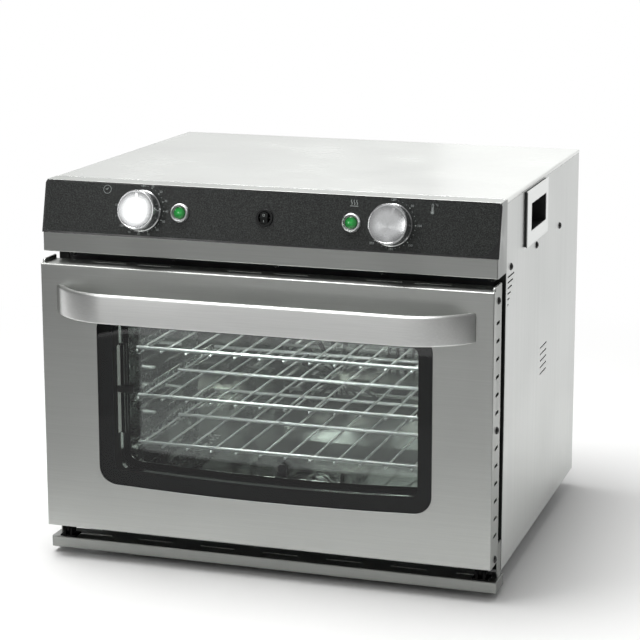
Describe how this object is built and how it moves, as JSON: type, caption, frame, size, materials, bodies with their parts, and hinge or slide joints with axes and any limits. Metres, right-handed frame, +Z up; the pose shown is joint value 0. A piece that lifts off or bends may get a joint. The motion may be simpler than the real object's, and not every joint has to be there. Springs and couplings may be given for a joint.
{
  "type": "convection oven",
  "caption": "Countertop convection oven with a drop-down glass door, bowed strip handle, sloped control panel, wire racks and a fan behind a baffle.",
  "frame": {"origin": "middle of the footprint, on the surface that the feet stand on", "axes": "+X to the oven's right seen from the front, +Y to the back, +Z up"},
  "size_m": [0.608, 0.573, 0.5],
  "materials": {
    "stainless": "brushed stainless steel",
    "polished_steel": "bright rolled stainless steel",
    "galvanised": "plain galvanised sheet",
    "chromed_wire": "bright plated wire",
    "chrome_trim": "polished plating",
    "spun_aluminium": "spun and polished",
    "black_panel": "satin black film",
    "black_glaze": "gloss black print on glass",
    "black_plastic": "moulded black",
    "white_plastic": "moulded off-white",
    "green_lens": "clear green lens",
    "clear_glass": "toughened clear glass",
    "black_rubber": "moulded rubber",
    "grey_silicone": "woven silicone seal",
    "mineral_wool": "blanket",
    "heater_sheath": "oxidised tube",
    "black_enamel": "black stoved enamel",
    "black_screw": "blackened steel",
    "copper_bulb": "plain copper"
  },
  "bodies": {
    "cabinet": {"top_cover": "stainless", "side_panel_left": "stainless", "side_panel_right": "stainless", "back_panel": "galvanised", "base_pan": "galvanised", "rubber_feet": "black_rubber", "front_ledge": "stainless", "front_frame": "black_enamel", "control_shelf": "galvanised", "fascia": "stainless", "control_overlay": "black_panel", "fascia_screws": "black_screw", "side_screws": "black_screw", "timer_body": "white_plastic", "thermostat_body": "white_plastic", "power_lamp_bezel": "chrome_trim", "power_lamp_lens": "green_lens", "heat_lamp_bezel": "chrome_trim", "heat_lamp_lens": "green_lens", "switch_bezel": "black_plastic", "cavity_liner": "polished_steel", "insulation": "mineral_wool", "door_gasket": "grey_silicone", "rack_support_left": "chromed_wire", "rack_support_right": "chromed_wire", "fan_baffle": "polished_steel", "fan_motor": "black_enamel", "ring_heater": "heater_sheath", "thermostat_bulb": "copper_bulb", "grip_cup_left": "black_plastic", "grip_cup_right": "black_plastic", "grip_plate_left": "stainless", "grip_plate_right": "stainless", "hinge_brackets": "black_screw", "hinge_pins": "black_screw", "cord_gland": "black_plastic", "terminal_block": "white_plastic"},
    "door": {"door_skin": "stainless", "outer_glass": "clear_glass", "glass_border": "black_glaze", "inner_panel": "polished_steel", "inner_glass": "clear_glass", "glass_rails": "polished_steel", "glass_clips": "black_plastic", "handle": "stainless", "handle_screws": "chrome_trim", "door_side_screws": "black_screw", "hinge_ears": "black_screw"},
    "timer_dial": {"timer_knob": "spun_aluminium", "timer_shaft": "chrome_trim"},
    "thermostat_dial": {"thermostat_knob": "spun_aluminium", "thermostat_shaft": "chrome_trim"},
    "rocker": {"switch_rocker": "black_plastic"},
    "fan": {"fan_wheel": "polished_steel", "fan_shaft": "chrome_trim"},
    "low_rack": {"rack_low": "chromed_wire"},
    "middle_rack": {"rack_middle": "chromed_wire"},
    "high_rack": {"rack_high": "chromed_wire"}
  },
  "joints": [
    {"name": "door_hinge", "type": "hinge", "parent": "cabinet", "child": "door", "pos_m": [0, -0.2145, 0.033], "axis": [1, 0, 0], "range_deg": [0, 80]},
    {"name": "timer_turn", "type": "hinge", "parent": "cabinet", "child": "timer_dial", "pos_m": [-0.165, -0.22225, 0.467], "axis": [0, 0.9735, -0.2286], "range_deg": [0, 276]},
    {"name": "thermostat_turn", "type": "hinge", "parent": "cabinet", "child": "thermostat_dial", "pos_m": [0.165, -0.22225, 0.467], "axis": [0, 0.9735, -0.2286], "range_deg": [-19, 251]},
    {"name": "rocker_tip", "type": "hinge", "parent": "cabinet", "child": "rocker", "pos_m": [0, -0.22128, 0.46677], "axis": [1, 0, 0], "range_deg": [-14, 0]},
    {"name": "fan_spin", "type": "hinge", "parent": "cabinet", "child": "fan", "pos_m": [-0.022, 0.2155, 0.165], "axis": [0, 1, 0], "continuous": true},
    {"name": "low_rack_slide", "type": "slide", "parent": "cabinet", "child": "low_rack", "axis": [0, -1, 0], "range_m": [0, 0.03]},
    {"name": "middle_rack_slide", "type": "slide", "parent": "cabinet", "child": "middle_rack", "axis": [0, -1, 0], "range_m": [0, 0.03]},
    {"name": "high_rack_slide", "type": "slide", "parent": "cabinet", "child": "high_rack", "axis": [0, -1, 0], "range_m": [0, 0.03]}
  ]
}
